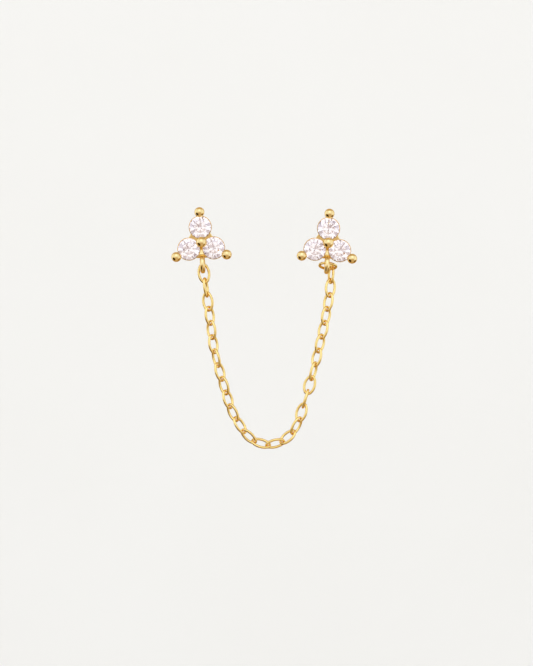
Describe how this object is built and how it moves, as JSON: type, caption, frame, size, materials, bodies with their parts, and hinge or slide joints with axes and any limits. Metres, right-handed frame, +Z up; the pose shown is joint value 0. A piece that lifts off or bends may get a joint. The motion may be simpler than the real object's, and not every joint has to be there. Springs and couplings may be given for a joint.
{
  "type": "ear chain earring",
  "caption": "Ear chain earring: trinity stud clusters of round clear stones with ball prongs and straight posts, joined by a fine cable chain that hangs in a U.",
  "frame": {"origin": "where the left stud's post leaves its seat on the ear, on the post's axis", "axes": "+Z up, +X from the left stud to the right stud, +Y along the posts into the ear; the stones face -Y"},
  "size_m": [0.0169, 0.0119, 0.022],
  "materials": {
    "polished_gold": "high polish, gold plated",
    "chain_gold": "polished, gold plated",
    "clear_stone": "polished facets, clear"
  },
  "bodies": {
    "root": {"left_setting": "polished_gold", "right_setting": "polished_gold", "left_stone_top": "clear_stone", "left_stone_left": "clear_stone", "left_stone_right": "clear_stone", "right_stone_top": "clear_stone", "right_stone_left": "clear_stone", "right_stone_right": "clear_stone", "link_01": "chain_gold", "link_02": "chain_gold", "link_03": "chain_gold", "link_04": "chain_gold", "link_05": "chain_gold", "link_06": "chain_gold", "link_07": "chain_gold", "link_08": "chain_gold", "link_09": "chain_gold", "link_10": "chain_gold", "link_11": "chain_gold", "link_12": "chain_gold", "link_13": "chain_gold", "link_14": "chain_gold", "link_15": "chain_gold", "link_16": "chain_gold", "link_17": "chain_gold", "link_18": "chain_gold", "link_19": "chain_gold", "link_20": "chain_gold", "link_21": "chain_gold", "link_22": "chain_gold", "link_23": "chain_gold", "link_24": "chain_gold", "link_25": "chain_gold", "link_26": "chain_gold", "link_27": "chain_gold", "link_28": "chain_gold", "link_29": "chain_gold"}
  },
  "joints": []
}
